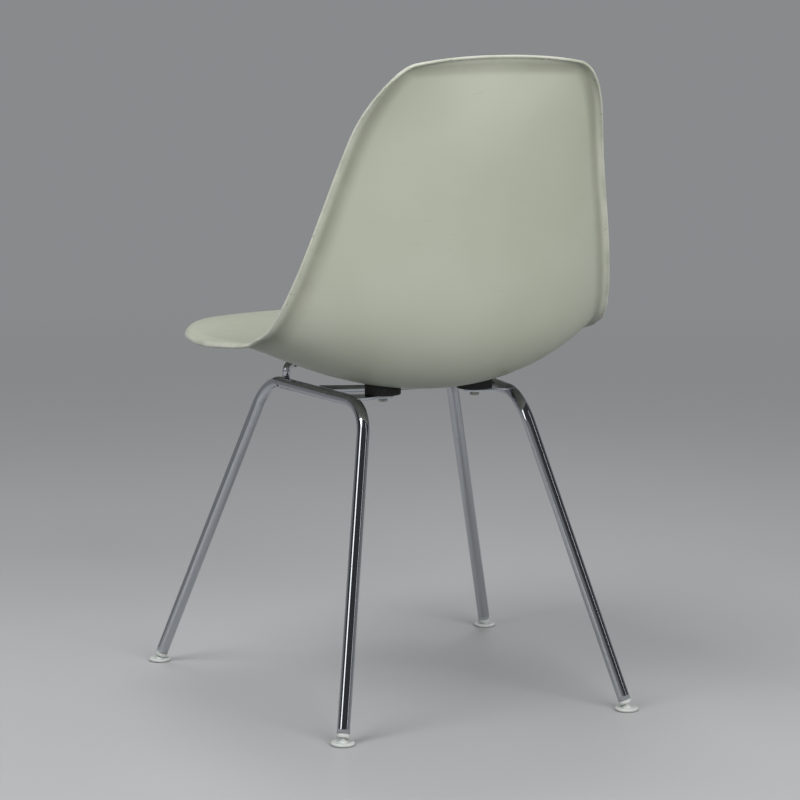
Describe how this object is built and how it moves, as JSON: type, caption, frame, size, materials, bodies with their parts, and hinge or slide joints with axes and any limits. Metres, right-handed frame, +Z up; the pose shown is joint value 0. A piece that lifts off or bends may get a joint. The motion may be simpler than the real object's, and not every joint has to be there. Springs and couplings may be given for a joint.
{
  "type": "moulded plastic shell chair",
  "caption": "Side chair: moulded plastic bucket seat on rubber mounts over a splayed bent-tube base with a cross bar, a front bow and tilting glides.",
  "frame": {"origin": "on the floor, at the middle of the chair's width and depth", "axes": "+Z up; -Y is the way the sitter faces; +X is the sitter's left"},
  "size_m": [0.5131, 0.5513, 0.8158],
  "materials": {
    "shell_plastic": "satin moulded plastic, warm greyish off-white",
    "chromed_steel": "polished chrome plate",
    "plated_steel": "dull zinc plate",
    "rubber": "matt black rubber",
    "nylon": "slightly translucent white nylon"
  },
  "bodies": {
    "chair": {"seat_shell": "shell_plastic", "left_leg_frame": "chromed_steel", "right_leg_frame": "chromed_steel", "cross_bar": "chromed_steel", "front_bow": "chromed_steel", "front_mount_plate_left": "chromed_steel", "front_mount_plate_right": "chromed_steel", "rear_mount_tab_left": "chromed_steel", "rear_mount_tab_right": "chromed_steel", "mount_bolts": "plated_steel", "spring_washers": "plated_steel", "shock_mount_front_left": "rubber", "shock_mount_front_right": "rubber", "shock_mount_rear_left": "rubber", "shock_mount_rear_right": "rubber", "mount_insert_front_left": "plated_steel", "mount_insert_front_right": "plated_steel", "mount_insert_rear_left": "plated_steel", "mount_insert_rear_right": "plated_steel", "glide_plug_front_left": "nylon", "glide_plug_front_right": "nylon", "glide_plug_rear_left": "nylon", "glide_plug_rear_right": "nylon"},
    "pad_front_left": {"glide_pad_front_left": "nylon"},
    "pad_front_right": {"glide_pad_front_right": "nylon"},
    "pad_rear_left": {"glide_pad_rear_left": "nylon"},
    "pad_rear_right": {"glide_pad_rear_right": "nylon"}
  },
  "joints": [
    {"name": "pad_tilt_front_left", "type": "hinge", "parent": "chair", "child": "pad_front_left", "pos_m": [0.2418, -0.2434, 0.005], "axis": [-0.7171, -0.697, 0], "range_deg": [-2.4, 47.6]},
    {"name": "pad_tilt_front_right", "type": "hinge", "parent": "chair", "child": "pad_front_right", "pos_m": [-0.2418, -0.2434, 0.005], "axis": [-0.7171, 0.697, 0], "range_deg": [-2.4, 47.6]},
    {"name": "pad_tilt_rear_left", "type": "hinge", "parent": "chair", "child": "pad_rear_left", "pos_m": [0.1935, 0.2474, 0.005], "axis": [0.8234, -0.5675, 0], "range_deg": [-3, 47]},
    {"name": "pad_tilt_rear_right", "type": "hinge", "parent": "chair", "child": "pad_rear_right", "pos_m": [-0.1935, 0.2474, 0.005], "axis": [0.8234, 0.5675, 0], "range_deg": [-3, 47]}
  ]
}
